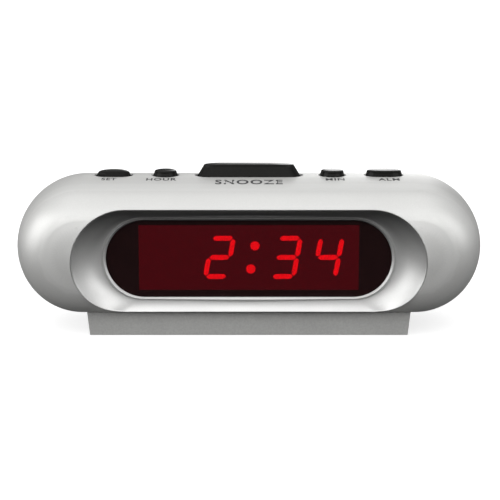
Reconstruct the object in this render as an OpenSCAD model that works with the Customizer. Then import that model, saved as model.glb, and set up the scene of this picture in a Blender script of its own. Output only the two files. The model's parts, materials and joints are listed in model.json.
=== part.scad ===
// LED alarm clock: a pill-shaped body on a low stand, with a sunk display window, five top
// buttons, a rear alarm slider, a power socket and a bay with a 9 V backup battery.
// Millimetres. +Z is up, the display faces -Y, and the origin is on the floor under the crest.

/* [Body] */
// Overall width of the body
body_w = 164; // [150:1:200]
// Height of the body without its stand
body_h = 48; // [46:0.5:58]
// Distance from the crest line to the foremost line
front_d = 28; // [26:0.5:34]
// Distance from the crest line to the flat back
rear_d = 27; // [26:0.5:33]
// Thickness of the shell walls
wall = 2; // [1.6:0.1:2.4]
// Radius of the crown along the top and the underside
crown_r = 70; // [60:1:90]
// Radius of the crown across the front
face_r = 55; // [45:1:80]
// Radius of the front corners of the profile
front_r = 13; // [11:0.5:14]
// Radius of the rear corners of the profile
back_r = 9; // [8:0.5:10]
// Distance of the parting line behind the crest
split_y = 9; // [8:0.5:10]

/* [Stand] */
// Width of the stand where it meets the body
stand_top_w = 113.6; // [100:1:130]
// Width of the stand at its foot
stand_foot_w = 111.2; // [98:1:128]
// Depth of the stand
stand_d = 35; // [34:1:40]
// Clear height under the body
ride_h = 6.2; // [5.5:0.1:8]
// Wall thickness of the stand
stand_wall = 2; // [1.6:0.1:2.4]
// Diameter of the rubber feet
foot_d = 9; // [7:0.5:10]
// How far the feet stand proud of the stand
foot_proud = 0.25; // [0.2:0.05:1]

/* [Display] */
// Shell left above the display surround
rim_top = 8.5; // [7.5:0.1:10]
// Shell left below the display surround
rim_bottom = 3; // [2.8:0.1:6]
// Shell left at each end of the display surround
rim_side = 21.1; // [18:0.1:26]
// Width of the sloping band above and below the window
band_h = 4.7; // [3.5:0.05:5]
// Width of the sloping band at each end of the window
band_w = 11.4; // [9:0.1:14]
// Height of the window's middle over the middle of its surround
window_lift = 0.35; // [0:0.05:0.5]
// Depth of the window behind the foremost line of the body
window_depth = 8.7; // [8:0.1:9.5]
// Thickness of the window
lens_t = 1.8; // [1.5:0.1:2.2]
// Height of a digit
digit_h = 15.24; // [13:0.02:17]
// Width of a digit before it leans
digit_w = 9.1; // [7.5:0.1:9.6]
// Distance between neighbouring digits
digit_pitch = 14.5; // [12.5:0.1:15]
// Distance between the digits on either side of the colon
colon_pitch = 23.2; // [21:0.1:25]
// Lean of the digits in degrees
digit_lean = 10; // [0:1:12]
// Width of one display segment
segment_w = 1.7; // [1.3:0.1:2.2]
// Width of the display module
module_w = 76.4; // [74:0.2:80]
// Height of the display module
module_h = 22.9; // [20:0.1:24]

/* [Buttons] */
// Diameter of the round buttons
round_d = 9.2; // [7.5:0.1:10]
// Length of the oval buttons
oval_w = 13.4; // [12:0.1:15]
// Depth of the oval buttons
oval_d = 8; // [6.5:0.1:9]
// Distance of the round buttons from the middle
round_x = 29.5; // [28.5:0.1:31]
// Distance of the oval buttons from the middle
oval_x = 47.8; // [46:0.1:50]
// Height of the small buttons over the crest
button_rise = 2; // [1.5:0.1:3]
// Length of the snooze bar
snooze_w = 38; // [33:0.1:39]
// Depth of the snooze bar
snooze_d = 8.8; // [8:0.1:9.6]
// Height of the snooze bar over the crest
snooze_rise = 4.2; // [3:0.1:5]
// Gap around each button
button_gap = 0.25; // [0.15:0.05:0.3]
// Travel of every button
key_travel = 0.5; // [0.3:0.1:0.7]

/* [Rear] */
// Length of the backup battery
battery_l = 48.5; // [44:0.5:50]
// Width of the backup battery
battery_w = 26.5; // [24:0.5:27]
// Thickness of the backup battery
battery_t = 17.5; // [15:0.5:18]
// Distance of the power socket from the middle
jack_x = 50; // [49:0.5:51]
// Diameter of the plug bore in the power socket
jack_bore_d = 3.6; // [3.55:0.01:3.7]
// Distance of the alarm slider from the middle
slider_x = 37; // [35:0.5:39]
// Travel of the alarm slider
slider_travel = 4; // [3:0.5:5]
// Distance of the buzzer from the middle
buzzer_x = 13; // [12:0.5:15]
// Diameter of the buzzer disc
buzzer_d = 20; // [16:0.5:22]

/* [Hidden] */

$fn = 64;
air = 0.05;
seat = 0.02;
fit = 0.15;
half_h = body_h / 2;
core_x = body_w / 2 - half_h;
body_z = ride_h + half_h;

// ---- Profile of the body in (depth, height): arcs that are tangent where they meet ----
crown_c = [0, half_h - crown_r];
face_c = [face_r - front_d, 0];
centre_gap = norm(face_c - crown_c);
crown_leg = crown_r - front_r;
face_leg = face_r - front_r;
leg_along = (pow(crown_leg, 2) - pow(face_leg, 2) + pow(centre_gap, 2)) / (2 * centre_gap);
leg_dir = (face_c - crown_c) / centre_gap;
front_c = crown_c + leg_along * leg_dir
    + sqrt(pow(crown_leg, 2) - pow(leg_along, 2)) * [-leg_dir.y, leg_dir.x];
back_y = rear_d - back_r;
back_c = [back_y, sqrt(pow(crown_r - back_r, 2) - pow(back_y, 2)) + crown_c.y];

function reach(from, through, r) = from + r * (through - from) / norm(through - from);
face_end = reach(face_c, front_c, face_r);
crown_end = reach(crown_c, front_c, crown_r);

// Depth of the body's front at a distance h from its core line
function front_y(h) =
    h < face_end.y ? face_c.x - sqrt(pow(face_r, 2) - pow(h, 2))
    : h < crown_end.y ? front_c.x - sqrt(pow(front_r, 2) - pow(h - front_c.y, 2))
    : -sqrt(max(0, pow(crown_r, 2) - pow(h - crown_c.y, 2)));
function core_distance(x, z) = norm([max(0, abs(x) - core_x), z]);
// Height of the body's crown over its middle at depth y, inset by t
function crown_z(y, t = 0) = sqrt(pow(crown_r - t, 2) - pow(y, 2)) + crown_c.y;

// ---- Shared sizes, measured from the middle of the body ----
rim_h = body_h - rim_top - rim_bottom;
rim_w = body_w - 2 * rim_side;
rim_z = (rim_bottom - rim_top) / 2;
window_z = rim_z + window_lift;
window_h = rim_h - 2 * band_h;
window_w = rim_w - 2 * band_w;
lens_y = window_depth - front_d;
lens_lap = 1.1;
lens_back = lens_y + lens_t;
surround_back = lens_back + 1;
ledge_t = 1.5;
filter_t = 0.3;
glow_t = 0.2;
module_y = lens_back + filter_t;
module_t = 8;
board_t = 1.6;
display_board_y = module_y + module_t;
display_board_w = 96;
display_board_h = 30;
display_post_x = 43.5;
display_post_z = 12.4;
digit_shift = 1.4;
key_drop = wall + 1.2;
flange_t = 1.2;
flange_lap = 0.8;
plunger_d = 3.4;
plunger_out = 1.2;
plunger_in = 1;
switch_w = 6;
switch_h = 3.5;
switch_top = half_h - key_drop - seat - flange_t - plunger_out;
key_board_top = switch_top - switch_h;
key_board_w = 116;
key_board_d = 16;
key_board_y = -0.6;
snooze_switch_x = 12;
key_post_x = (round_x + oval_x + (round_d - oval_w) / 2) / 2;
key_posts = [for (x = [-1, 1]) for (y = [-5.4, 3.8]) [x * key_post_x, y]];
main_board_z = wall + 4.5 - half_h;
main_board_top = main_board_z + board_t;
main_board_w = 114;
main_board_d = 23.5;
main_board_y = 7.25;
main_posts = [[-52, 1], [53, 1], [-8, -1.6]];
shell_post_x = core_x + 8;
shell_post_z = 8;
shell_posts = [for (x = [-1, 1]) for (z = [-1, 1]) [x * shell_post_x, z * shell_post_z]];
stand_posts = [[-40, -12], [40, -12], [-40, 3], [40, 3]];
small_d = 2;
small_head_d = 3.6;
small_head_h = 1.4;
small_len = 5;
big_d = 2.6;
big_head_d = 4.8;
big_head_h = 1.8;
bay_wall = 1.4;
bay_l = battery_l + 6.5;
bay_h = battery_t + 1;
bay_d = battery_w + 1.5;
bay_x1 = -3.5;
bay_x0 = bay_x1 - bay_l;
bay_mid = (bay_x0 + bay_x1) / 2;
bay_back = rear_d - wall;
door_w = bay_l + 1;
door_h = bay_h + 3;
door_t = 1.4;
door_lap = 1.3;
jack_z = main_board_top + 5.2;
jack_w = 9;
jack_back = rear_d - wall - 0.1;
jack_len = 14;
slider_z = 2;
slider_slot_h = 3;
slider_w = 8;
slider_h = 5.4;
pocket_depth = 1;

// ---- Shared shapes ----
module at_body() {
    translate([0, 0, body_z]) children();
}

// The sliver of a circle of radius r at c that lies outside the chord from p to q
module arc_cap(c, r, p, q) {
    out = reach([0, 0], (p + q) / 2 - c, r / 5);
    intersection() {
        translate(c) circle(r);
        polygon([p, q, q + out, p + out]);
    }
}

// Upper half of the body's profile, inset by t
module section(t = 0) {
    front = [t - front_d, 0];
    f = reach(face_c, front_c, face_r - t);
    c = reach(crown_c, front_c, crown_r - t);
    top = [0, half_h - t];
    r = reach(crown_c, back_c, crown_r - t);
    b = [rear_d - t, back_c.y];
    union() {
        polygon([[rear_d - t, 0], front, f, c, top, r, b]);
        arc_cap(face_c, face_r - t, front, f);
        arc_cap(front_c, front_r - t, f, c);
        arc_cap(crown_c, crown_r - t, c, top);
        arc_cap(crown_c, crown_r - t, top, r);
        arc_cap(back_c, back_r - t, r, b);
    }
}

// The part of the profile between insets t0 and t1, from depth y0 to y1
module skin(t0, t1, y0, y1) {
    intersection() {
        difference() {
            section(t0);
            section(t1);
        }
        translate([y0, -1]) square([y1 - y0, half_h + 10]);
    }
}

// Carries an upper half profile along the middle of the body and round its two ends
module swept() {
    rotate([90, 0, 90]) linear_extrude(2 * core_x, center = true) {
        children();
        mirror([0, 1, 0]) children();
    }
    for (side = [0, 1])
        mirror([side, 0, 0]) translate([core_x, 0, 0]) rotate([90, 0, 90]) rotate([90, 0, 90])
            rotate_extrude(angle = 180) mirror([1, -1, 0]) children();
}

module stadium(w, h) {
    square([w - h, h], center = true);
    for (x = [-1, 1]) translate([x * (w - h) / 2, 0]) circle(d = h);
}

// Outline with half-round ends, in the same even steps wherever the display surround meets it
ring_steps = 26;
function ring_point(w, h, i) =
    let (
        side = i <= ring_steps ? 1 : -1,
        a = i <= ring_steps ? -90 + 180 * i / ring_steps
            : 90 + 180 * (i - ring_steps - 1) / ring_steps
    ) [side * (w - h) / 2 + h / 2 * cos(a), h / 2 * sin(a)];
module ring_outline(grow) {
    polygon([for (i = [0:2 * ring_steps + 1]) ring_point(rim_w + 2 * grow, rim_h + 2 * grow, i)]);
}

// Runs a flat shape drawn in (x, z) from depth y0 to y1
module deep(y0, y1) {
    translate([0, y1, 0]) rotate([90, 0, 0]) linear_extrude(y1 - y0) children();
}

// A rod along Y from y0 to y1
module rod(p, d, y0, y1) {
    translate([p.x, y0, p.y]) rotate([-90, 0, 0]) cylinder(d = d, h = y1 - y0);
}

// A pan-head screw: the head sits above z = 0 and the shank points down
module screw(d, head_d, head_h, length) {
    difference() {
        union() {
            translate([0, 0, -length]) cylinder(d = d, h = length);
            intersection() {
                cylinder(d = head_d, h = head_h);
                translate([0, 0, head_h - head_d]) sphere(r = head_d);
            }
        }
        for (a = [0, 90]) rotate(a) translate([-head_d * 0.32, -0.3, head_h - 0.7])
            cube([head_d * 0.64, 0.6, 2]);
    }
}

// A round wire along a smooth path through the given points
function bezier(p, t) =
    len(p) == 1 ? p[0]
    : bezier([for (i = [0:len(p) - 2]) p[i] * (1 - t) + p[i + 1] * t], t);
module wire(p, r, steps = 20, sides = 8) {
    path = [for (i = [0:steps]) bezier(p, i / steps)];
    way = [for (i = [0:steps]) let (a = path[max(0, i - 1)], b = path[min(steps, i + 1)])
        (b - a) / norm(b - a)];
    side = [for (w = way) let (s = cross(w, [0.31, 0.83, 0.47])) s / norm(s)];
    polyhedron(
        points = [for (i = [0:steps]) for (k = [0:sides - 1]) let (a = 360 * k / sides)
            path[i] + r * (cos(a) * side[i] + sin(a) * cross(way[i], side[i]))],
        faces = concat(
            [[for (k = [sides - 1:-1:0]) k]],
            [[for (k = [0:sides - 1]) steps * sides + k]],
            [for (i = [0:steps - 1]) for (k = [0:sides - 1]) let (n = (k + 1) % sides)
                each [
                    [i * sides + k, i * sides + n, (i + 1) * sides + n],
                    [i * sides + k, (i + 1) * sides + n, (i + 1) * sides + k]
                ]]
        )
    );
}

// ---- Case ----
module key_holes(grow, z0, z1) {
    translate([0, 0, z0]) linear_extrude(z1 - z0) {
        stadium(snooze_w + 2 * grow, snooze_d + 2 * grow);
        for (x = [-1, 1]) {
            translate([x * round_x, 0]) circle(d = round_d + 2 * grow);
            translate([x * oval_x, 0]) stadium(oval_w + 2 * grow, oval_d + 2 * grow);
        }
    }
}

// The seat behind the display surround, held to the shell by ribs over it and at its ends
well_t = 0.9;
well_y = min(surround_back, front_y(rim_h / 2 - rim_z + well_t) + 0.5);
module display_well() {
    back = surround_back + ledge_t;
    rib_y = front_y(rim_h / 2 + rim_z + 3) + 0.9;
    translate([0, 0, rim_z]) deep(well_y, back) ring_outline(well_t);
    for (x = [-36, -12, 12, 36])
        translate([x - 0.8, rib_y, rim_z + rim_h / 2]) cube([1.6, back - rib_y, 3]);
    for (x = [-1, 1]) translate([x * (rim_w / 2 + 1.2) - 1.2, 1 - front_d, rim_z - 0.8])
        cube([2.4, back + front_d - 1, 1.6]);
}

module front_shell_posts() {
    for (x = [-1, 1]) for (z = [-1, 1])
        rod([x * display_post_x, window_z + z * display_post_z], 4.4,
            surround_back + ledge_t - 0.5, display_board_y);
    key_holes(button_gap + 1.2, half_h - key_drop, half_h - 0.9);
    for (p = key_posts) translate([p.x, p.y, key_board_top])
        cylinder(d = 4.4, h = half_h - 0.9 - key_board_top);
    for (p = main_posts) translate([p.x, p.y, 1 - crown_z(p.y)])
        cylinder(d = 4.6, h = main_board_z + crown_z(p.y) - 1);
    for (p = stand_posts) translate([p.x, p.y, 1 - crown_z(p.y)])
        cylinder(d = 5.4, h = main_board_z + crown_z(p.y) - 1 + (p.y > 0 ? -0.1 : 1.5));
    for (p = shell_posts) rod(p, 6, front_y(norm([8, p.y])) + 1, split_y + 2);
}

module front_shell() {
    color("silver") at_body() difference() {
        union() {
            swept() skin(0, wall, -front_d - 1, split_y);
            display_well();
            front_shell_posts();
        }
        translate([0, 0, rim_z]) deep(-front_d - 5, surround_back) ring_outline(fit);
        translate([0, 0, window_z]) deep(-front_d, surround_back + ledge_t + 0.5)
            square([module_w + 0.3, module_h + 0.3], center = true);
        key_holes(button_gap, half_h - key_drop - 1, half_h + 5);
        for (x = [-1, 1]) for (z = [-1, 1])
            rod([x * display_post_x, window_z + z * display_post_z], small_d + air,
                display_board_y - small_len, display_board_y + 1);
        for (p = key_posts) translate([p.x, p.y, key_board_top - 1])
            cylinder(d = small_d + air, h = small_len);
        for (p = main_posts) translate([p.x, p.y, main_board_z - small_len + 1])
            cylinder(d = small_d + air, h = small_len);
        for (p = stand_posts) translate([p.x, p.y, -half_h - 5])
            cylinder(d = big_d + air, h = main_board_z + half_h + (p.y > 0 ? 4.4 : 6));
        for (p = shell_posts) rod(p, big_d + air, split_y - 9, split_y + 3);
    }
}

module rear_shell() {
    color("gainsboro") at_body() difference() {
        union() {
            swept() {
                skin(0, wall, split_y, rear_d + 1);
                skin(wall - 0.5, wall + 1.1, split_y, split_y + 2);
                skin(wall + 0.1, wall + 1.1, split_y - 2.5, split_y + 1);
            }
            translate([bay_x0 - bay_wall, bay_back - bay_d - bay_wall, -bay_h / 2 - bay_wall])
                cube([bay_l + 2 * bay_wall, bay_d + bay_wall + 1, bay_h + 2 * bay_wall]);
            for (p = shell_posts) rod(p, 8, split_y + 2, rear_d - 0.5);
            rod([buzzer_x, slider_z], buzzer_d + 3, bay_back - 3, bay_back + 0.5);
            for (x = [-1, 1]) rod([slider_x + x * 9.6, slider_z], 4.4, bay_back - 3, bay_back + 0.5);
        }
        translate([bay_x0, bay_back - bay_d, -bay_h / 2]) cube([bay_l, bay_d + 10, bay_h]);
        translate([bay_mid - door_w / 2 - door_lap, rear_d - door_t, -door_h / 2])
            cube([door_w + 2 * door_lap, 10, door_h]);
        translate([bay_x1 - 1, bay_back - bay_d + 3, -5]) cube([4, 5, 6]);
        for (p = shell_posts) {
            rod(p, big_head_d + 0.5, split_y + 5, rear_d + 5);
            rod(p, big_d + 0.4, split_y, rear_d);
        }
        rod([buzzer_x, slider_z], buzzer_d + 0.1, bay_back - 4, bay_back - 1.2);
        rod([buzzer_x, slider_z], buzzer_d - 2, bay_back - 4, bay_back);
        for (i = [-2:2]) translate([buzzer_x + i * 2.8, 0, slider_z]) deep(bay_back - 1, rear_d + 5)
            rotate(90) stadium(12 - 1.2 * abs(i), 1.3);
        translate([slider_x - (slider_w + slider_travel) / 2 - 0.2, rear_d - pocket_depth,
            slider_z - slider_h / 2 - 0.15])
            cube([slider_w + slider_travel + 0.4, 5, slider_h + 0.3]);
        translate([slider_x - slider_travel / 2 - 1.7, bay_back - 1, slider_z - slider_slot_h / 2])
            cube([slider_travel + 3.4, 10, slider_slot_h]);
        for (x = [-1, 1]) rod([slider_x + x * 9.6, slider_z], small_d + air, bay_back - 4,
            bay_back + 0.6);
        rod([jack_x, jack_z], 8.1, bay_back - 1, rear_d + 5);
    }
}

// Ring round the window: a dished band from the body's front down to a bead at the window
band_steps = 9;
function ring_section(i) =
    let (
        o = ring_point(rim_w, rim_h, i),
        up = [0, window_lift],
        n = ring_point(window_w, window_h, i) + up,
        lip = ring_point(window_w + 2 * lens_lap + 0.1, window_h + 2 * lens_lap + 0.1, i) + up,
        y0 = front_y(core_distance(o.x, o.y + rim_z)),
        y1 = lens_y - 0.5,
        step = norm(n - o),
        bead = 1 / step
    ) concat(
        [[o.x, y0 + 0.35, o.y]],
        [for (k = [0:band_steps]) let (t = (k / band_steps) * (1 - bead) + 0.02, p = o + (n - o) * t)
            [p.x, y0 + (y1 - y0) * pow(sin(90 * k / band_steps), 0.85), p.y]],
        [for (k = [1:4]) let (p = o + (n - o) * (1 - bead * (1 - k / 5)))
            [p.x, y1 - 0.35 * sin(180 * k / 5), p.y]],
        [[n.x, y1, n.y], [n.x, lens_y, n.y], [lip.x, lens_y, lip.y],
            [lip.x, surround_back, lip.y], [o.x, surround_back, o.y]]
    );

module display_surround() {
    ring = [for (i = [0:2 * ring_steps + 1]) ring_section(i)];
    n = len(ring);
    m = len(ring[0]);
    color("silver") at_body() translate([0, 0, rim_z]) polyhedron(
        points = [for (s = ring) each s],
        faces = [for (i = [0:n - 1]) for (k = [0:m - 1]) let (j = (i + 1) % n, l = (k + 1) % m)
            each [[i * m + k, i * m + l, j * m + l], [i * m + k, j * m + l, j * m + k]]]
    );
}

module window_lens() {
    color([0.16, 0.1, 0.1, 0.6]) at_body() translate([0, 0, window_z]) deep(lens_y, lens_back)
        stadium(window_w + 2 * lens_lap, window_h + 2 * lens_lap);
}

// ---- Stand ----
stand_top = body_z - half_h + 5;
stand_hole_z = 4.6;
module stand_block(inset, z0) {
    lean = (stand_top_w - stand_foot_w) / 2;
    w = stand_foot_w / 2 - inset;
    translate([0, stand_d / 2 - inset, 0]) rotate([90, 0, 0])
        linear_extrude(stand_d - 2 * inset)
            polygon([[-w, z0], [w, z0], [w + lean, stand_top], [-w - lean, stand_top]]);
}

foot_places = [for (x = [-1, 1]) for (y = [-1, 1])
    [x * (stand_foot_w / 2 - foot_d / 2 - 3), y * (stand_d / 2 - foot_d / 2 - 2.4)]];
module stand() {
    color("gray") difference() {
        union() {
            difference() {
                stand_block(0, foot_proud);
                stand_block(stand_wall, -1);
            }
            intersection() {
                stand_block(stand_wall / 2, foot_proud);
                at_body() swept() section(-stand_wall);
            }
            intersection() {
                stand_block(stand_wall / 2, foot_proud);
                union() {
                    for (p = foot_places) translate([p.x, p.y, 0]) cylinder(d = foot_d + 3, h = 9);
                    for (p = stand_posts) translate([p.x, p.y, stand_hole_z - 1.6])
                        cylinder(d = 8, h = 9);
                    for (x = [-18, 18]) translate([x - 0.7, -stand_d / 2, 1.5])
                        cube([1.4, stand_d, 9]);
                }
            }
        }
        at_body() swept() section(-0.02);
        for (p = foot_places) translate([p.x, p.y, -1]) cylinder(d = foot_d, h = 3);
        for (p = stand_posts) translate([p.x, p.y, 0]) {
            cylinder(d = big_d + 0.4, h = 20);
            cylinder(d = big_head_d + 0.6, h = stand_hole_z);
        }
    }
}

module rubber_feet() {
    color("dimgray") for (p = foot_places) translate([p.x, p.y, 0]) {
        translate([0, 0, 0.4]) cylinder(d = foot_d - 0.06, h = 1.6);
        cylinder(d1 = foot_d - 1, d2 = foot_d - 0.06, h = 0.4);
    }
}

module stand_screws() {
    color("silver") for (p = stand_posts) translate([p.x, p.y, stand_hole_z]) mirror([0, 0, 1])
        screw(big_d, big_head_d, big_head_h, ride_h - stand_hole_z + (p.y > 0 ? 4 : 6.5));
}

// ---- Buttons and their switches ----
module at_key(x) {
    translate([x, 0, body_z + half_h]) children();
}

module round_cap() {
    intersection() {
        translate([0, 0, -key_drop - 1]) cylinder(d = round_d, h = key_drop + 1 + button_rise);
        translate([0, 0, button_rise - 12]) sphere(r = 12);
    }
    translate([0, 0, -key_drop - seat - flange_t])
        cylinder(d = round_d + 2 * flange_lap, h = flange_t);
}

module oval_cap() {
    intersection() {
        translate([0, 0, -key_drop - 1]) linear_extrude(key_drop + 1 + button_rise)
            stadium(oval_w, oval_d);
        translate([0, 0, button_rise - 14]) sphere(r = 14);
    }
    translate([0, 0, -key_drop - seat - flange_t]) linear_extrude(flange_t)
        stadium(oval_w + 2 * flange_lap, oval_d + 2 * flange_lap);
}

module plunger_at(x) {
    at_key(x) translate([0, 0, -key_drop - seat - flange_t - plunger_out - plunger_in])
        cylinder(d = plunger_d, h = plunger_out + plunger_in);
}

module snooze_bar() {
    color("#1c1c1c") at_key(0) {
        translate([0, 0, -key_drop - 1]) linear_extrude(key_drop - 0.2) stadium(snooze_w, snooze_d);
        hull() {
            translate([0, 0, -1.5]) linear_extrude(0.2) stadium(snooze_w, snooze_d);
            translate([0, 0, snooze_rise - 0.2]) linear_extrude(0.2)
                stadium(snooze_w - 7.6, snooze_d - 3.2);
        }
        translate([0, 0, -key_drop - seat - flange_t]) linear_extrude(flange_t)
            stadium(snooze_w + 2 * flange_lap, snooze_d + 2 * flange_lap);
    }
}

module time_button() { color("#1c1c1c") at_key(-oval_x) oval_cap(); }
module hour_button() { color("#1c1c1c") at_key(-round_x) round_cap(); }
module minute_button() { color("#1c1c1c") at_key(round_x) round_cap(); }
module alarm_button() { color("#1c1c1c") at_key(oval_x) oval_cap(); }

module snooze_plungers() {
    color("ivory") for (x = [-1, 1]) plunger_at(x * snooze_switch_x);
}
module time_plunger() { color("ivory") plunger_at(-oval_x); }
module hour_plunger() { color("ivory") plunger_at(-round_x); }
module minute_plunger() { color("ivory") plunger_at(round_x); }
module alarm_plunger() { color("ivory") plunger_at(oval_x); }

module key_switches() {
    color("#303030") at_body()
        for (x = [-oval_x, -round_x, -snooze_switch_x, snooze_switch_x, round_x, oval_x])
            translate([x, 0, key_board_top]) difference() {
                union() {
                    translate([-switch_w / 2, -switch_w / 2, 0])
                        cube([switch_w, switch_w, switch_h]);
                    for (a = [-1, 1]) for (b = [-1, 1])
                        translate([a * 3.6 - 0.9, b * 2.2 - 0.35, 0]) cube([1.8, 0.7, 0.25]);
                }
                translate([0, 0, switch_h - plunger_in - key_travel - 0.3])
                    cylinder(d = plunger_d + 0.1, h = 5);
            }
}

module key_board() {
    color("#b5793a") at_body() difference() {
        translate([-key_board_w / 2, key_board_y - key_board_d / 2, key_board_top - board_t])
            cube([key_board_w, key_board_d, board_t]);
        for (p = key_posts) translate([p.x, p.y, 0]) cylinder(d = small_d + 0.3, h = half_h);
    }
}

module key_board_screws() {
    color("silver") at_body() for (p = key_posts)
        translate([p.x, p.y, key_board_top - board_t]) mirror([0, 0, 1])
            screw(small_d, small_head_d, small_head_h, small_len);
}

// ---- Display ----
module display_filter() {
    color([0.6, 0.05, 0.1, 0.5]) at_body() translate([0, 0, window_z])
        deep(lens_back, module_y) square([module_w, module_h], center = true);
}

module display_module() {
    color("#20181a") at_body() translate([0, 0, window_z]) difference() {
        deep(module_y, display_board_y) square([module_w, module_h], center = true);
        deep(module_y - 1, module_y + glow_t) square([module_w - 2, module_h - 2], center = true);
    }
}

// A six-sided bar, then leaned: each point moves sideways in proportion to its height
function leaned(p) = [p.x + p.y * tan(digit_lean), p.y];
function bar(c, half, upright) =
    let (s = segment_w / 2, e = half - s)
    [for (q = [[-half, 0], [-e, s], [e, s], [half, 0], [e, -s], [-e, -s]])
        leaned(c + (upright ? [q.y, q.x] : q))];
seg_x = (digit_w - segment_w) / 2;
seg_z = (digit_h - segment_w) / 2;
seg_gap = 0.2;
function segment(i) =
    i == 0 ? bar([0, seg_z], seg_x - seg_gap, false)
    : i == 1 ? bar([seg_x, seg_z / 2], seg_z / 2 - seg_gap, true)
    : i == 2 ? bar([seg_x, -seg_z / 2], seg_z / 2 - seg_gap, true)
    : i == 3 ? bar([0, -seg_z], seg_x - seg_gap, false)
    : i == 4 ? bar([-seg_x, -seg_z / 2], seg_z / 2 - seg_gap, true)
    : i == 5 ? bar([-seg_x, seg_z / 2], seg_z / 2 - seg_gap, true)
    : bar([0, 0], seg_x - seg_gap, false);
digit_places = [for (k = [-1, 0, 1, 2]) digit_shift + (k < 1 ? -1 : 1) * colon_pitch / 2
    + (k < 0 ? -digit_pitch : k > 1 ? digit_pitch : 0)];
// Segments that show the time 2:34, digit by digit
lit = [[], [0, 1, 6, 4, 3], [0, 1, 2, 3, 6], [5, 6, 1, 2]];
unlit = [[0, 1, 2, 3, 4, 5, 6], [2, 5], [4, 5], [0, 3, 4]];

module segments(table) {
    for (d = [0:3]) translate([digit_places[d], 0, window_z]) for (i = table[d])
        deep(module_y, module_y + glow_t) polygon(segment(i));
}

module lit_segments() {
    color("red") at_body() {
        segments(lit);
        for (z = [-1, 1]) rod([digit_shift + z * 4.1 * tan(digit_lean), window_z + z * 4.1], 3.2,
            module_y, module_y + glow_t);
    }
}

module unlit_segments() {
    color("#5a2028") at_body() {
        segments(unlit);
        for (z = [-1, 1]) rod([-module_w / 2 + 4, window_z + z * 6], 1.8, module_y,
            module_y + glow_t);
    }
}

module display_board() {
    color("#b5793a") at_body() translate([0, 0, window_z]) difference() {
        deep(display_board_y, display_board_y + board_t)
            square([display_board_w, display_board_h], center = true);
        for (x = [-1, 1]) for (z = [-1, 1])
            rod([x * display_post_x, z * display_post_z], small_d + 0.3, display_board_y - 1,
                display_board_y + board_t + 1);
    }
}

module display_board_screws() {
    color("silver") at_body() for (x = [-1, 1]) for (z = [-1, 1])
        translate([x * display_post_x, display_board_y + board_t, window_z + z * display_post_z])
            rotate([-90, 0, 0]) screw(small_d, small_head_d, small_head_h, small_len);
}

// A flat cable: a strip of thickness t that follows a smooth path in (y, z), from x0 to x1
module ribbon(p, t, x0, x1) {
    n = 16;
    path = [for (i = [0:n]) bezier(p, i / n)];
    way = [for (i = [0:n]) let (d = path[min(n, i + 1)] - path[max(0, i - 1)])
        [-d.y, d.x] / norm(d) * t / 2];
    translate([x0, 0, 0]) rotate([90, 0, 90]) linear_extrude(x1 - x0) polygon(concat(
        [for (i = [0:n]) path[i] + way[i]], [for (i = [n:-1:0]) path[i] - way[i]]));
}

module display_ribbon() {
    y = display_board_y + board_t;
    color("lightgray") at_body() ribbon([[y + 0.05, -11], [y + 3.4, -11], [y + 3.4, -13],
        [y + 3.6, main_board_top]], 0.7, -34, -14);
}

module key_ribbon() {
    color("lightgray") at_body() ribbon([[1.5, key_board_top - board_t], [1.5, 4], [-1, -4],
        [-1, main_board_top]], 0.7, 1, 9);
}

// ---- Main board ----
module main_board() {
    color("#b5793a") at_body() difference() {
        translate([-main_board_w / 2, main_board_y - main_board_d / 2, main_board_z])
            cube([main_board_w, main_board_d, board_t]);
        for (p = main_posts) translate([p.x, p.y, main_board_z - 1]) cylinder(d = small_d + 0.3,
            h = 5);
        for (p = socket_pin_places) translate([p.x, p.y, main_board_z - 1]) cylinder(d = 1.2, h = 5);
    }
}

module main_board_screws() {
    color("silver") at_body() for (p = main_posts) translate([p.x, p.y, main_board_top])
        screw(small_d, small_head_d, small_head_h, board_t + 2.6);
}

module on_board(x, y) {
    translate([x, y, body_z + main_board_top]) children();
}

chip_l = 36;
chip_w = 9;
module clock_chip() {
    color("#202020") on_board(22, 10.4) difference() {
        union() {
            translate([-chip_l / 2, -chip_w / 2, 0.5]) cube([chip_l, chip_w, 3.6]);
            for (i = [0:13]) for (s = [-1, 1])
                translate([(i - 6.5) * 2.54 - 0.6, s * (chip_w / 2 + 0.4) - 0.5, 0])
                    cube([1.2, 1, 2.6]);
        }
        translate([-chip_l / 2, 0, 3.6]) cylinder(r = 1.2, h = 2);
    }
}

module capacitors() {
    color("#23324a") for (p = [[30, 0, 8, 11], [40.5, 0, 6.3, 9], [47.4, -1, 5, 7]])
        on_board(p.x, p.y) {
            cylinder(d = p.z, h = p[3]);
            translate([0, 0, 0.8]) cylinder(d = p.z + 0.4, h = p[3] - 2);
        }
}

// An axial part: a body of diameter d and length l on two bent leads
module axial(d, l, pitch) {
    translate([-l / 2, 0, d / 2 + 0.4]) rotate([0, 90, 0]) cylinder(d = d, h = l);
    for (s = [-1, 1]) {
        translate([s * pitch / 2, 0, 0]) cylinder(d = 0.6, h = d / 2 + 0.7);
        translate([s > 0 ? 0 : -pitch / 2 - 0.3, -0.3, d / 2 + 0.1]) cube([pitch / 2 + 0.3, 0.6,
            0.6]);
    }
}

module resistors() {
    color("tan") for (i = [0:7]) on_board(-44 + 4.2 * i, 7) rotate(90) axial(2.3, 6.3, 10);
}

module diodes() {
    color("#1a1a1a") for (i = [0:3]) on_board(-44 + 5 * i, 15.6) rotate(90) axial(2.6, 4, 5.6);
}

module transistors() {
    color("#222222") for (x = [14.5, 20.5]) on_board(x, -0.5) {
        difference() {
            translate([0, 0, 2]) cylinder(d = 4.6, h = 4.6);
            translate([-3, -4.3, 1]) cube([6, 3, 8]);
        }
        for (i = [-1, 0, 1]) translate([i * 1.27 - 0.25, -0.25, 0]) cube([0.5, 0.5, 2.4]);
    }
}

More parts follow.
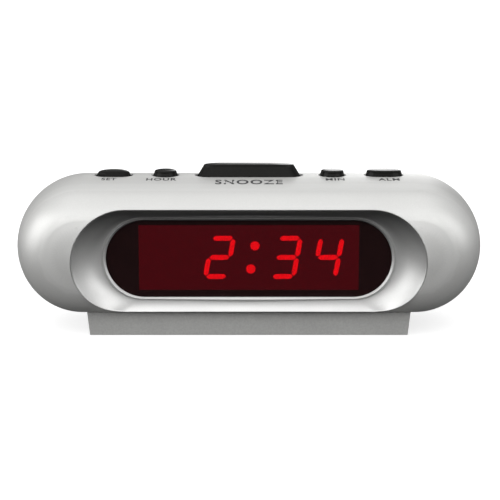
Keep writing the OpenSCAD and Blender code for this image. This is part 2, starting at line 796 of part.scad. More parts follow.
// ---- Rear parts ----
module buzzer() {
    color("#c9a24a") at_body() {
        rod([buzzer_x, slider_z], buzzer_d, bay_back - 1.5, bay_back - 1.2);
        rod([buzzer_x, slider_z], buzzer_d * 0.62, bay_back - 1.8, bay_back - 1.4);
        rod([buzzer_x, slider_z + 7], 1.8, bay_back - 2, bay_back - 1.4);
    }
}

module buzzer_leads() {
    y = bay_back - 2.3;
    color("crimson") at_body() {
        wire([[buzzer_x, y, slider_z], [buzzer_x - 6, y - 9, slider_z - 2],
            [buzzer_x - 3, 17.6, slider_z - 12], [buzzer_x - 3, 17.6, main_board_top + 0.03]], 0.5);
        wire([[buzzer_x, y - 0.2, slider_z + 7], [buzzer_x + 6, y - 10, slider_z + 5],
            [buzzer_x + 3, 17.6, slider_z - 12], [buzzer_x + 3, 17.6, main_board_top + 0.03]], 0.5);
    }
}

module alarm_slider() {
    color("#1c1c1c") at_body() translate([slider_x - slider_travel / 2, 0, slider_z]) {
        difference() {
            translate([-slider_w / 2, rear_d - pocket_depth + seat, -slider_h / 2])
                cube([slider_w, pocket_depth + 0.8, slider_h]);
            for (i = [-2:2]) translate([i * 1.4 - 0.25, rear_d + 0.4, -5]) cube([0.5, 2, 10]);
        }
        translate([-1.6, bay_back - 0.5, -slider_slot_h / 2 + 0.08])
            cube([3.2, wall - pocket_depth + 1, slider_slot_h - 0.16]);
    }
}

module slider_nub() {
    color("ivory") at_body() translate([slider_x - slider_travel / 2 - 1, bay_back - 3,
        slider_z - 1]) cube([2, 2.5, 2]);
}

module slider_switch() {
    color("silver") at_body() difference() {
        union() {
            translate([slider_x - 6.2, bay_back - 7, slider_z - 3]) cube([12.4, 5.6, 6]);
            translate([slider_x - 11.8, bay_back - 4, slider_z - 2.5]) cube([23.6, 1, 5]);
            for (i = [-1, 0, 1]) translate([slider_x + i * 3 - 0.4, bay_back - 10, slider_z - 0.4])
                cube([0.8, 3.5, 0.8]);
        }
        translate([slider_x - slider_travel / 2 - 1.1, bay_back - 3.1, slider_z - 1.1])
            cube([slider_travel + 2.2, 5, 2.2]);
        for (x = [-1, 1]) rod([slider_x + x * 9.6, slider_z], small_d + 0.3, bay_back - 6, bay_back);
    }
}

socket_pin_places = [for (q = [[-3, 12.5], [3, 14.5], [0, 17.5]]) [jack_x + q.x, q.y]];
module power_socket() {
    color("#202020") at_body() difference() {
        union() {
            translate([jack_x - jack_w / 2, jack_back, 0]) rotate([90, 0, 90])
                linear_extrude(jack_w) polygon([[-jack_len, main_board_top],
                    [-2.5, main_board_top], [0, main_board_top + 3.2], [0, jack_z + jack_w / 2],
                    [-jack_len, jack_z + jack_w / 2]]);
            rod([jack_x, jack_z], 8, jack_back - 1, rear_d - 0.3);
        }
        rod([jack_x, jack_z], jack_bore_d, jack_back - jack_len + 2, rear_d + 1);
    }
}

module socket_pins() {
    color("#c9a24a") at_body() for (p = socket_pin_places)
        translate([p.x, p.y, main_board_z - 1.5]) cylinder(d = 1, h = board_t + 1.5);
}

battery_x0 = bay_x0 + 0.4;
battery_y0 = bay_back - battery_w - 0.6;
module battery() {
    color("#30363c") at_body() {
        translate([battery_x0, battery_y0, -battery_t / 2])
            cube([battery_l - 2.6, battery_w, battery_t]);
        for (s = [-1, 1]) translate([battery_x0 + battery_l - 2.7, battery_y0 + battery_w / 2
            + s * 6.35, 0]) rotate([0, 90, 0]) cylinder(d = s > 0 ? 5.6 : 7.4, h = 2.7);
    }
}

module battery_snap() {
    x = battery_x0 + battery_l;
    color("#1a1a1a") at_body() translate([x, battery_y0 + battery_w / 2, 0]) {
        translate([0, -12, -6]) cube([3, 24, 12]);
        for (s = [-1, 1]) translate([-2, s * 6.35, 0]) rotate([0, 90, 0]) difference() {
            cylinder(d = s > 0 ? 8.2 : 9.4, h = 2.5);
            translate([0, 0, -1]) cylinder(d = s > 0 ? 5.7 : 7.5, h = 4);
        }
    }
}

module battery_leads() {
    x = battery_x0 + battery_l + 3;
    y = bay_back - bay_d + 5.5;
    for (s = [-1, 1]) color(s > 0 ? "crimson" : "#181818") at_body()
        wire([[x, y + 1.2 * s, -1], [x + 4, y + 1.2 * s, -1], [x + 6.4, y + 1.2 * s, -2],
            [x + 6, y + 3 * s, -9], [x + 6, y + 3 * s, main_board_top + 0.03]], 0.6);
}

module battery_door() {
    color("gainsboro") at_body() difference() {
        union() {
            translate([bay_mid - door_w / 2 - door_lap + 0.15, rear_d - door_t + seat,
                -door_h / 2 + 0.15])
                cube([door_w + 2 * door_lap - 0.3, door_t - seat, door_h - 0.3]);
            for (s = [-1, 1]) for (x = [-18, 18])
                translate([bay_mid + x - 4, bay_back - 0.5, s * (bay_h / 2 - 0.6) - 0.5])
                    cube([8, 2, 1]);
        }
        translate([bay_mid - door_w / 2 + 3, rear_d + 0.6, 0]) for (i = [-2:2])
            translate([2 * i + 4, -1.2, -5]) cube([0.8, 3, 10]);
    }
}

module shell_screws() {
    color("silver") at_body() for (p = shell_posts) translate([p.x, split_y + 5, p.y])
        rotate([-90, 0, 0]) screw(big_d, big_head_d, big_head_h, 11);
}

front_shell();
rear_shell();
display_surround();
window_lens();
stand();
rubber_feet();
snooze_bar();
time_button();
hour_button();
minute_button();
alarm_button();
snooze_plungers();
time_plunger();
hour_plunger();
minute_plunger();
alarm_plunger();
key_switches();
key_board();
key_board_screws();
key_ribbon();
display_filter();
display_module();
lit_segments();
unlit_segments();
display_board();
display_board_screws();
display_ribbon();
main_board();
main_board_screws();
clock_chip();
capacitors();
resistors();
diodes();
transistors();
buzzer();
buzzer_leads();
alarm_slider();
slider_switch();
slider_nub();
power_socket();
socket_pins();
battery();
battery_snap();
battery_leads();
battery_door();
shell_screws();
stand_screws();
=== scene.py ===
import bpy, math, json
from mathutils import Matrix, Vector


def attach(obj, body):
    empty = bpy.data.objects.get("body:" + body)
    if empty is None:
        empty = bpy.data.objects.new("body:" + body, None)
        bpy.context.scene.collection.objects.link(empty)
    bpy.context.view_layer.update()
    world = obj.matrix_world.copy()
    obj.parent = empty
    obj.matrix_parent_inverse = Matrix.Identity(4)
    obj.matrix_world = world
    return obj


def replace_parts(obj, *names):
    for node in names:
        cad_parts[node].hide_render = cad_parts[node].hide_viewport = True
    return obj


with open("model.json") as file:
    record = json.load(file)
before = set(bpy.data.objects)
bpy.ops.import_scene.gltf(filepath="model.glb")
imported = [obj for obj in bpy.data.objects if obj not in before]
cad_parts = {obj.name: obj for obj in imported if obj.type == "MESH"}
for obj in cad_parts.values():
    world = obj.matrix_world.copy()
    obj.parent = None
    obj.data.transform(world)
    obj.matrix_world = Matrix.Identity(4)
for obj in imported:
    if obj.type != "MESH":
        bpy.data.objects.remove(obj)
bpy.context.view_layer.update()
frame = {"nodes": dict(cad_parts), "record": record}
N = frame["nodes"]
sc = bpy.context.scene
MM = 0.001

# ---------------------------------------------------------------- sizes shared with the CAD (mm)
BODY_W, BODY_H, FRONT_D, REAR_D = 164.0, 48.0, 28.0, 27.0
CROWN_R, FACE_R, FRONT_R, BACK_R = 70.0, 55.0, 13.0, 9.0
HALF_H = BODY_H / 2
CORE_X = BODY_W / 2 - HALF_H
BODY_Z = 6.2 + HALF_H
RIM_W, RIM_H, RIM_Z = BODY_W - 2 * 21.1, BODY_H - 8.5 - 3.0, (3.0 - 8.5) / 2
WIN_W, WIN_H, WIN_Z = RIM_W - 22.8, RIM_H - 9.4, RIM_Z + 0.35
LENS_Y = 8.7 - FRONT_D
LENS_BACK = LENS_Y + 1.8
SEAT_Y = LENS_BACK + 1.0
CROWN_CZ = HALF_H - CROWN_R
FACE_CY = FACE_R - FRONT_D
_g = math.hypot(FACE_CY, CROWN_CZ)
_a, _b = CROWN_R - FRONT_R, FACE_R - FRONT_R
_al = (_a * _a - _b * _b + _g * _g) / (2 * _g)
_d = (FACE_CY / _g, -CROWN_CZ / _g)
_h = math.sqrt(_a * _a - _al * _al)
FRONT_C = (_al * _d[0] - _h * _d[1], CROWN_CZ + _al * _d[1] + _h * _d[0])


def _reach(c, r):
    dy, dz = FRONT_C[0] - c[0], FRONT_C[1] - c[1]
    n = math.hypot(dy, dz)
    return c[1] + r * dz / n


FACE_END = _reach((FACE_CY, 0.0), FACE_R)
CROWN_END = _reach((0.0, CROWN_CZ), CROWN_R)


def front_y(h):
    if h < FACE_END:
        return FACE_CY - math.sqrt(FACE_R ** 2 - h * h)
    if h < CROWN_END:
        return FRONT_C[0] - math.sqrt(max(0.0, FRONT_R ** 2 - (h - FRONT_C[1]) ** 2))
    return -math.sqrt(max(0.0, CROWN_R ** 2 - (h - CROWN_CZ) ** 2))


def crown_z(y):
    return math.sqrt(CROWN_R ** 2 - y * y) + CROWN_CZ


def surface_y(x, z):
    return front_y(math.hypot(max(0.0, abs(x) - CORE_X), z))


# ---------------------------------------------------------------- materials
class Nodes:
    """Small helper for building shader trees."""

    def __init__(self, name):
        self.m = bpy.data.materials.new(name)
        self.m.use_nodes = True
        self.t = self.m.node_tree
        self.b = self.t.nodes["Principled BSDF"]
        self.out = self.t.nodes["Material Output"]
        self.co = self.t.nodes.new("ShaderNodeTexCoord").outputs["Object"]

    def link(self, a, b):
        self.t.links.new(a, b)

    def set(self, **kw):
        for k, v in kw.items():
            s = self.b.inputs[k.replace("_", " ")]
            s.default_value = (*v, 1) if isinstance(v, tuple) and len(v) == 3 else v

    def noise(self, scale, detail=3.0, rough=0.55, stretch=None):
        n = self.t.nodes.new("ShaderNodeTexNoise")
        n.inputs["Scale"].default_value = scale
        n.inputs["Detail"].default_value = detail
        n.inputs["Roughness"].default_value = rough
        src = self.co
        if stretch:
            mp = self.t.nodes.new("ShaderNodeMapping")
            mp.inputs["Scale"].default_value = stretch
            self.link(self.co, mp.inputs["Vector"])
            src = mp.outputs["Vector"]
        self.link(src, n.inputs["Vector"])
        return n.outputs["Fac"]

    def cells(self, scale):
        v = self.t.nodes.new("ShaderNodeTexVoronoi")
        v.inputs["Scale"].default_value = scale
        self.link(self.co, v.inputs["Vector"])
        return v.outputs["Color"]

    def span(self, fac, lo, hi, a=0.0, b=1.0):
        r = self.t.nodes.new("ShaderNodeMapRange")
        for k, v in zip(("From Min", "From Max", "To Min", "To Max"), (a, b, lo, hi)):
            r.inputs[k].default_value = v
        self.link(fac, r.inputs["Value"])
        return r.outputs["Result"]

    def mix(self, fac, a, b):
        x = self.t.nodes.new("ShaderNodeMix")
        x.data_type = "RGBA"
        for k, v in (("A", a), ("B", b)):
            s = [i for i in x.inputs if i.name == k and i.type == "RGBA"][0]
            if isinstance(v, tuple):
                s.default_value = (*v, 1)
            else:
                self.link(v, s)
        if isinstance(fac, float):
            x.inputs[0].default_value = fac
        else:
            self.link(fac, x.inputs[0])
        return [o for o in x.outputs if o.type == "RGBA"][0]

    def bump(self, height, strength, distance, edge=0.0):
        n = self.t.nodes.new("ShaderNodeBump")
        n.inputs["Strength"].default_value = strength
        n.inputs["Distance"].default_value = distance
        self.link(height, n.inputs["Height"])
        if edge:
            e = self.t.nodes.new("ShaderNodeBevel")
            e.samples = 4
            e.inputs["Radius"].default_value = edge
            self.link(e.outputs["Normal"], n.inputs["Normal"])
        self.link(n.outputs["Normal"], self.b.inputs["Normal"])
        return n


def silver(name, col, rough, metal, edge=0.0003, shade=False):
    k = Nodes(name)
    flake = k.cells(5200.0)
    fine = k.noise(2600.0, 2.0)
    broad = k.noise(38.0, 4.0)
    sep = k.t.nodes.new("ShaderNodeSeparateColor")
    k.link(flake, sep.inputs["Color"])
    c = k.mix(k.span(sep.outputs["Red"], 0.0, 0.35), col, tuple(min(1.0, x * 1.16) for x in col))
    c = k.mix(k.span(broad, 0.0, 0.22, 0.35, 0.7), c, tuple(x * 0.93 for x in col))
    geo = k.t.nodes.new("ShaderNodeNewGeometry")
    # Painted highlight: sharp convex edges are made up to a fifth lighter.
    c = k.mix(k.span(geo.outputs["Pointiness"], 0.0, 0.35, 0.53, 0.62), c, tuple(min(1.0, x * 1.2) for x in col))
    if shade:
        # Painted shade: the band's colour is darkened towards its top, from pale at its lower lip to dark in the upper
        # cove, standing in for the shade under the overhang.
        xyz = k.t.nodes.new("ShaderNodeSeparateXYZ")
        k.link(geo.outputs["Position"], xyz.inputs[0])
        shade_height = k.t.nodes.new("ShaderNodeMapRange")
        shade_height.inputs["From Min"].default_value = 0.009
        shade_height.inputs["From Max"].default_value = 0.046
        k.link(xyz.outputs["Z"], shade_height.inputs["Value"])
        ramp = k.t.nodes.new("ShaderNodeValToRGB")
        e = ramp.color_ramp.elements
        e[0].position, e[0].color = 0.08, (0.80, 0.80, 0.80, 1)
        e[1].position, e[1].color = 0.93, (0.13, 0.13, 0.13, 1)
        for at, v in ((0.22, 0.70), (0.40, 0.64), (0.60, 0.48), (0.80, 0.27)):
            e.new(at).color = (v, v, v, 1)
        k.link(shade_height.outputs[0], ramp.inputs[0])
        tint = k.t.nodes.new("ShaderNodeMix")
        tint.data_type, tint.blend_type = "RGBA", "MULTIPLY"
        tint.inputs[0].default_value = 1.0
        k.link(c, tint.inputs[6])
        k.link(ramp.outputs[0], tint.inputs[7])
        c = tint.outputs[2]
    k.link(c, k.b.inputs["Base Color"])
    r = k.t.nodes.new("ShaderNodeMath")
    r.operation = "ADD"
    k.link(k.span(broad, rough - 0.04, rough + 0.05, 0.3, 0.7), r.inputs[0])
    k.link(k.span(sep.outputs["Green"], -0.03, 0.03), r.inputs[1])
    k.link(r.outputs[0], k.b.inputs["Roughness"])
    k.set(Metallic=metal)
    k.set(Coat_Weight=0.12, Coat_Roughness=0.3)
    k.bump(fine, 0.10, 0.00002, edge)
    return k.m


def plastic(name, col, rough, grain=900.0, depth=0.00002, strength=0.15, edge=0.0002, speck=0.12, coat=0.0, metal=0.0,
            spec=0.5):
    k = Nodes(name)
    g = k.noise(grain, 4.0, 0.6)
    broad = k.noise(60.0, 5.0)
    c = k.mix(k.span(g, 0.0, speck, 0.35, 0.65), col, tuple(min(1.0, x * 1.6 + 0.01) for x in col))
    c = k.mix(k.span(broad, 0.0, 0.3, 0.45, 0.75), c, tuple(x * 0.8 for x in col))
    k.link(c, k.b.inputs["Base Color"])
    k.link(k.span(broad, rough - 0.06, rough + 0.08, 0.3, 0.7), k.b.inputs["Roughness"])
    k.set(Metallic=metal, Specular_IOR_Level=spec)
    if coat:
        k.set(Coat_Weight=coat, Coat_Roughness=0.12)
    k.bump(g, strength, depth, edge)
    return k.m


def glowing(name, col, power, body):
    k = Nodes(name)
    n = k.noise(700.0, 2.0)
    k.link(k.mix(k.span(n, 0.0, 0.25), col, tuple(x * 0.8 for x in col)), k.b.inputs["Emission Color"])
    k.link(k.mix(k.span(n, 0.0, 0.3), body, tuple(x * 0.7 for x in body)), k.b.inputs["Base Color"])
    k.set(Emission_Strength=power, Roughness=0.5)
    k.bump(n, 0.1, 0.00002)
    return k.m


def pane(name, tint, haze, haze_fac, rough, ior=1.49):
    """A tinted clear sheet: it passes light through its tint, with a surface reflection and a little haze."""
    k = Nodes(name)
    t = k.t
    clear = t.nodes.new("ShaderNodeBsdfTransparent")
    clear.inputs["Color"].default_value = (*tint, 1)
    dif = t.nodes.new("ShaderNodeBsdfDiffuse")
    n = k.noise(240.0, 3.0)
    k.link(k.mix(k.span(n, 0.0, 0.3), haze, tuple(x * 0.75 for x in haze)), dif.inputs["Color"])
    m1 = t.nodes.new("ShaderNodeMixShader")
    m1.inputs[0].default_value = haze_fac
    k.link(clear.outputs[0], m1.inputs[1])
    k.link(dif.outputs[0], m1.inputs[2])
    gl = t.nodes.new("ShaderNodeBsdfGlossy")
    k.link(k.span(n, rough, rough + 0.05), gl.inputs["Roughness"])
    fr = t.nodes.new("ShaderNodeFresnel")
    fr.inputs["IOR"].default_value = ior
    m2 = t.nodes.new("ShaderNodeMixShader")
    k.link(fr.outputs[0], m2.inputs[0])
    k.link(m1.outputs[0], m2.inputs[1])
    k.link(gl.outputs[0], m2.inputs[2])
    bp = t.nodes.new("ShaderNodeBump")
    bp.inputs["Strength"].default_value = 0.03
    bp.inputs["Distance"].default_value = 0.00002
    k.link(k.noise(150.0, 2.0), bp.inputs["Height"])
    k.link(bp.outputs[0], gl.inputs["Normal"])
    k.link(m2.outputs[0], k.out.inputs["Surface"])
    t.nodes.remove(k.b)
    return k.m


M = {
    "silver_paint": silver("silver_paint", (0.60, 0.60, 0.588), 0.46, 0.45),
    # silver_trim carries painted shade: its colour darkens towards the top of the band.
    "silver_trim": silver("silver_trim", (0.86, 0.86, 0.85), 0.45, 0.60, shade=True),
    "grey_plastic": plastic("grey_plastic", (0.33, 0.33, 0.322), 0.55, 1500.0, 0.00004, 0.25, 0.0004, 0.25),
    "foot_rubber": plastic("foot_rubber", (0.03, 0.03, 0.03), 0.8, 1200.0, 0.00005, 0.4),
    "black_plastic": plastic("black_plastic", (0.005, 0.005, 0.0045), 0.20, 1600.0, 0.00001, 0.05, 0.0, 0.2, spec=0.09),
    "ivory_plastic": plastic("ivory_plastic", (0.72, 0.66, 0.52), 0.45),
    "switch_plastic": plastic("switch_plastic", (0.025, 0.025, 0.028), 0.5),
    "circuit_board": plastic("circuit_board", (0.40, 0.20, 0.065), 0.5, 500.0, 0.00002, 0.2, 0.00015, 0.3),
    "screw_steel": plastic("screw_steel", (0.62, 0.61, 0.58), 0.3, 900.0, 0.00002, 0.15, 0.00015, 0.2, 0.0, 1.0),
    "ribbon_vinyl": plastic("ribbon_vinyl", (0.5, 0.51, 0.53), 0.45, 700.0),
    # Painted light: module_plastic and led_unlit glow a dim red (emission 0.72) although the module body and the unlit
    # segments are not lit.
    "module_plastic": glowing("module_plastic", (0.34, 0.010, 0.055), 0.72, (0.03, 0.002, 0.005)),
    "chip_plastic": plastic("chip_plastic", (0.02, 0.02, 0.02), 0.55, 1400.0, 0.00003, 0.3),
    "capacitor_sleeve": plastic("capacitor_sleeve", (0.02, 0.035, 0.10), 0.3, 300.0),
    "resistor_body": plastic("resistor_body", (0.62, 0.42, 0.22), 0.35, 400.0),
    "diode_body": plastic("diode_body", (0.02, 0.02, 0.02), 0.3),
    "contact_brass": plastic("contact_brass", (0.78, 0.56, 0.22), 0.3, 800.0, 0.00002, 0.15, 0.0001, 0.15, 0.0, 1.0),
    "lead_red": plastic("lead_red", (0.45, 0.012, 0.012), 0.35),
    "lead_black": plastic("lead_black", (0.015, 0.015, 0.015), 0.35),
    "switch_steel": plastic("switch_steel", (0.6, 0.59, 0.56), 0.35, 900.0, 0.00002, 0.15, 0.00015, 0.2, 0.0, 1.0),
    "socket_plastic": plastic("socket_plastic", (0.02, 0.02, 0.02), 0.45),
    "battery_case": plastic("battery_case", (0.035, 0.045, 0.06), 0.3, 300.0, 0.00002, 0.1, 0.0006, 0.2, 0.2, 0.4),
    "snap_vinyl": plastic("snap_vinyl", (0.02, 0.02, 0.02), 0.4),
    "label_ink": plastic("label_ink", (0.02, 0.02, 0.022), 0.5, 1800.0, 0.00001, 0.1, 0.0, 0.4),
    "led_lit": glowing("led_lit", (1.0, 0.022, 0.035), 3.8, (0.5, 0.02, 0.03)),
    "led_unlit": glowing("led_unlit", (0.34, 0.010, 0.055), 0.72, (0.03, 0.002, 0.005)),
    "smoked_window": pane("smoked_window", (0.80, 0.70, 0.72), (0.02, 0.008, 0.009), 0.25, 0.05),
    "red_filter": pane("red_filter", (0.95, 0.32, 0.48), (0.16, 0.003, 0.03), 0.2, 0.25),
    # mask_film is the dark sheet that stands in for the shade behind the window.
    "mask_film": plastic("mask_film", (0.085, 0.040, 0.030), 0.5),
}
SLOT = {s["node"]: s["material_slot"] for s in frame["record"]["subparts"]}
for n, o in N.items():
    o.data.materials.clear()
    o.data.materials.append(M[SLOT[n]])


# ---------------------------------------------------------------- mesh builders (mm, body frame unless said)
def piece(name, pts, faces, slot, body="body", dz=BODY_Z, sharp=40.0):
    me = bpy.data.meshes.new(name)
    me.from_pydata([(x * MM, y * MM, (z + dz) * MM) for x, y, z in pts], [], faces)
    me.validate()
    me.shade_smooth()
    me.set_sharp_from_angle(angle=math.radians(sharp))
    o = bpy.data.objects.new(name, me)
    sc.collection.objects.link(o)
    me.materials.append(M[slot])
    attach(o, body)
    return o


def loft(rows, closed_rows=False, cap0=False, cap1=False, flip=False):
    """Points and faces of a surface through rows of equal length, each row a closed loop."""
    n = len(rows[0])
    pts = [p for r in rows for p in r]
    faces = []
    m = len(rows)
    for j in range(m if closed_rows else m - 1):
        a, b = j * n, ((j + 1) % m) * n
        for i in range(n):
            k = (i + 1) % n
            f = (a + i, a + k, b + k, b + i)
            faces.append(f[::-1] if flip else f)
    if cap0:
        f = tuple(range(n))
        faces.append(f if flip else f[::-1])
    if cap1:
        f = tuple((m - 1) * n + i for i in range(n))
        faces.append(f[::-1] if flip else f)
    return pts, faces


def outline(w, h, ends=48, straight=12):
    """A stadium outline in even steps: right end, top, left end, bottom."""
    c, r = (w - h) / 2, h / 2
    out = []
    for i in range(ends + 1):
        a = math.radians(-90 + 180 * i / ends)
        out.append((c + r * math.cos(a), r * math.sin(a)))
    for i in range(1, straight):
        out.append((c - 2 * c * i / straight, r))
    for i in range(ends + 1):
        a = math.radians(90 + 180 * i / ends)
        out.append((-c + r * math.cos(a), r * math.sin(a)))
    for i in range(1, straight):
        out.append((-c + 2 * c * i / straight, -r))
    return out


def surround():
    """The dished band round the window, with a crisp outer edge, a cove and a half-round bead."""
    o = [(x, z + RIM_Z) for x, z in outline(RIM_W, RIM_H, 72, 16)]
    n = [(x, z + WIN_Z) for x, z in outline(WIN_W, WIN_H, 72, 16)]
    lip = [(x, z + WIN_Z) for x, z in outline(WIN_W + 2.3, WIN_H + 2.3, 72, 16)]
    y1 = LENS_Y - 0.5
    span = [math.hypot(b[0] - a[0], b[1] - a[1]) for a, b in zip(o, n)]
    # Along the bottom the lip stands a little proud of the case, so the band there faces upward.
    low = [max(0.0, min(1.0, (-a[1] - 11.0) / 9.5)) for a in o]
    front = [surface_y(*a) - 1.2 * q * q * (3 - 2 * q) for a, q in zip(o, low)]
    rows = [[(a[0], SEAT_Y, a[1]) for a in o]]

    def row(inset, depth):
        rows.append([(a[0] + (b[0] - a[0]) * inset(d) / d, depth(f), a[1] + (b[1] - a[1]) * inset(d) / d)
                     for a, b, d, f in zip(o, n, span, front)])

    for back in (2.6, 0.5, 0.28):
        row(lambda d: 0.0, lambda f, back=back: f + back)
    for q in (30, 60, 90):
        q = math.radians(q)
        row(lambda d, q=q: 0.14 * (1 - math.cos(q)), lambda f, q=q: f + 0.18 - 0.14 * math.sin(q))
    steps = 32
    for k in range(1, steps + 1):
        t = k / steps
        sink = math.sin(math.radians(90 * t)) ** 0.85
        row(lambda d, t=t: 0.16 + (d - 1.66) * t, lambda f, sink=sink: f + 0.06 + (y1 - f - 0.06) * sink)
    for k in range(1, 11):
        bulge = 0.5 * math.sin(math.radians(18 * k))
        row(lambda d, k=k: d - 1.35 + 1.25 * k / 10, lambda f, bulge=bulge: y1 - bulge)
    row(lambda d: d, lambda f: y1 + 0.12)
    row(lambda d: d, lambda f: LENS_Y)
    rows.append([(c[0], LENS_Y, c[1]) for c in lip])
    rows.append([(c[0], SEAT_Y, c[1]) for c in lip])
    pts, faces = loft(rows, closed_rows=True)
    return piece("surround_band", pts, faces, "silver_trim", sharp=50)


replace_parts(surround(), "display_surround")


def window():
    """The smoked window with a softened back edge."""
    rows = []
    for grow, y in ((0.95, LENS_BACK), (1.05, LENS_BACK - 0.1), (1.05, LENS_Y + 0.02)):
        rows.append([(x, y, z + WIN_Z) for x, z in outline(WIN_W + 2 * grow, WIN_H + 2 * grow, 64, 8)])
    pts, faces = loft(rows, cap0=True, cap1=True, flip=True)
    return piece("window_pane", pts, faces, "smoked_window", sharp=30)


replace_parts(window(), "window_lens")


def shade_sheet():
    """Painted shade: a dark sheet on the back of the window round the display, standing in for the shade seen through
    the window there.
    """
    o = [(x, z + WIN_Z) for x, z in outline(WIN_W + 1.6, WIN_H + 1.6, 64, 8)]
    hx, hz, top = 38.2, 11.45, (WIN_H + 1.6) / 2
    y = LENS_BACK + 0.02
    pts, faces = [], []

    def face(loop):
        faces.append(tuple(range(len(pts), len(pts) + len(loop))))
        pts.extend((x, y, z) for x, z in loop)

    right = [q for q in o[:65] if q[0] > hx]
    left = [q for q in o[76:141] if q[0] < -hx]
    face([(hx, WIN_Z - top)] + right + [(hx, WIN_Z + top)])
    face([(-hx, WIN_Z + top)] + left + [(-hx, WIN_Z - top)])
    face([(-hx, WIN_Z + hz), (hx, WIN_Z + hz), (hx, WIN_Z + top), (-hx, WIN_Z + top)])
    face([(-hx, WIN_Z - top), (hx, WIN_Z - top), (hx, WIN_Z - hz), (-hx, WIN_Z - hz)])
    return piece("window_shade_sheet", pts, faces, "mask_film")


shade_sheet()


def rounded(loop, r=0.42, steps=5):
    """A loop with its corners rounded off over the distance r."""
    out = []
    for i, p in enumerate(loop):
        a, b = loop[i - 1], loop[(i + 1) % len(loop)]
        ends = []
        for q in (a, b):
            d = math.hypot(q[0] - p[0], q[1] - p[1])
            k = min(r, d * 0.45) / d
            ends.append((p[0] + (q[0] - p[0]) * k, p[1] + (q[1] - p[1]) * k))
        for j in range(steps + 1):
            t = j / steps
            out.append(tuple(ends[0][c] * (1 - t) ** 2 + 2 * p[c] * t * (1 - t) + ends[1][c] * t * t for c in (0, 1)))
    return out


def plates(name, loops, y0, y1, slot, node):
    """Thin plates with softened front edges, one per outline, as one piece."""
    pts, faces = [], []
    for loop in loops:
        cx, cz = sum(q[0] for q in loop) / len(loop), sum(q[1] for q in loop) / len(loop)
        rows = []
        for e, y in ((1.0, y1), (1.0, y0 + 0.04), (0.985, y0)):
            rows.append([(cx + (x - cx) * e, y, cz + (z - cz) * e + WIN_Z) for x, z in loop])
        p, f = loft(rows, cap0=True, cap1=True, flip=True)
        faces += [tuple(i + len(pts) for i in q) for q in f]
        pts += p
    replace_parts(piece(name, pts, faces, slot), node)


DIG_H, DIG_W, SEG, LEAN = 15.24, 9.1, 1.7, math.tan(math.radians(10))
SX, SZ = (DIG_W - SEG) / 2, (DIG_H - SEG) / 2
BARS = [(0, SZ, 0), (SX, SZ / 2, 1), (SX, -SZ / 2, 1), (0, -SZ, 0), (-SX, -SZ / 2, 1), (-SX, SZ / 2, 1), (0, 0, 0)]


def bar(digit_x, i):
    cx, cz, up = BARS[i]
    half, r = (SZ / 2 if up else SX) - 0.2, SEG / 2
    loop = [(-half, 0), (-half + r, r), (half - r, r), (half, 0), (half - r, -r), (-half + r, -r)]
    loop = rounded([(b, a) for a, b in loop][::-1] if up else loop)
    return [(digit_x + cx + a + (cz + b) * LEAN, cz + b) for a, b in loop]


def dot(x, z, d):
    return [(x + d / 2 * math.cos(6.2831853 * i / 40), z - d / 2 * math.sin(6.2831853 * i / 40)) for i in range(40)]


PLACES = [1.4 + k for k in (-26.1, -11.6, 11.6, 26.1)]
LIT = [[], [0, 1, 6, 4, 3], [0, 1, 2, 3, 6], [5, 6, 1, 2]]
FRONT = LENS_BACK + 0.32
plates("lit_bars", [bar(PLACES[d], i) for d in range(4) for i in LIT[d]]
       + [dot(1.4 + s * 4.1 * LEAN, s * 4.1, 3.2) for s in (-1, 1)], FRONT, LENS_BACK + 0.5, "led_lit", "lit_segments")
# The unlit bars carry led_unlit's dim painted glow.
plates("unlit_bars", [bar(PLACES[d], i) for d in range(4) for i in range(7) if i not in LIT[d]]
       + [dot(-34.2, s * 6.0, 1.8) for s in (-1, 1)], FRONT + 0.1, LENS_BACK + 0.5, "led_unlit", "unlit_segments")
plates("filter_sheet", [[(-38.2, -11.45), (-38.2, 11.45), (38.2, 11.45), (38.2, -11.45)]],
       LENS_BACK + 0.04, LENS_BACK + 0.28, "red_filter", "display_filter")


def ellipse(w, d, n=120):
    return [(w / 2 * math.cos(6.2831853 * i / n - 1.5707963), d / 2 * math.sin(6.2831853 * i / n - 1.5707963)) for i in range(n)]


def cap(name, w, d, rise, x0, body, node, low, lift, slope, power, shape=outline, slot="black_plastic"):
    """A key cap: a flange and skirt below the shell, then a pillow that leans in by slope = (x, y).
    Heights are from the crest; the pillow starts at low and its edge rounds off with the given power."""
    rows = []

    def r(gx, gy, z):
        rows.append([(x0 + x, y, HALF_H + z) for x, y in shape(w + 2 * gx, d + 2 * gy)])

    def r2(sx, sy, z):
        a = shape(w, d)
        rows.append([(x0 + x * sx, y * sy, HALF_H + z) for x, y in a])

    for g, z in ((0.7, -4.42), (0.8, -4.34), (0.8, -3.3), (0.72, -3.22), (0, -3.22), (0, low - 0.2), (0, low)):
        r(g, g, z)
    tx, ty = (w - 2 * slope[0]) / w, (d - 2 * slope[1]) / d
    for q in range(1, 8):
        e = q / 8.0
        r2(1 + (tx - 1) * e, 1 + (ty - 1) * e, low + (rise - lift - low) * e)
    steps = 18
    for q in range(0, steps):
        u = math.sin(math.radians(90 * q / steps))
        k2 = (1 - u ** power) ** (1 / power)
        r2(tx * k2 if k2 > 0.02 else 0.02, ty * k2 if k2 > 0.02 else 0.02, rise - lift + lift * u)
    pts, faces = loft(rows, cap0=True, cap1=True)
    o = piece(name, pts, faces, slot, body, sharp=60)
    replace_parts(o, node)
    return o


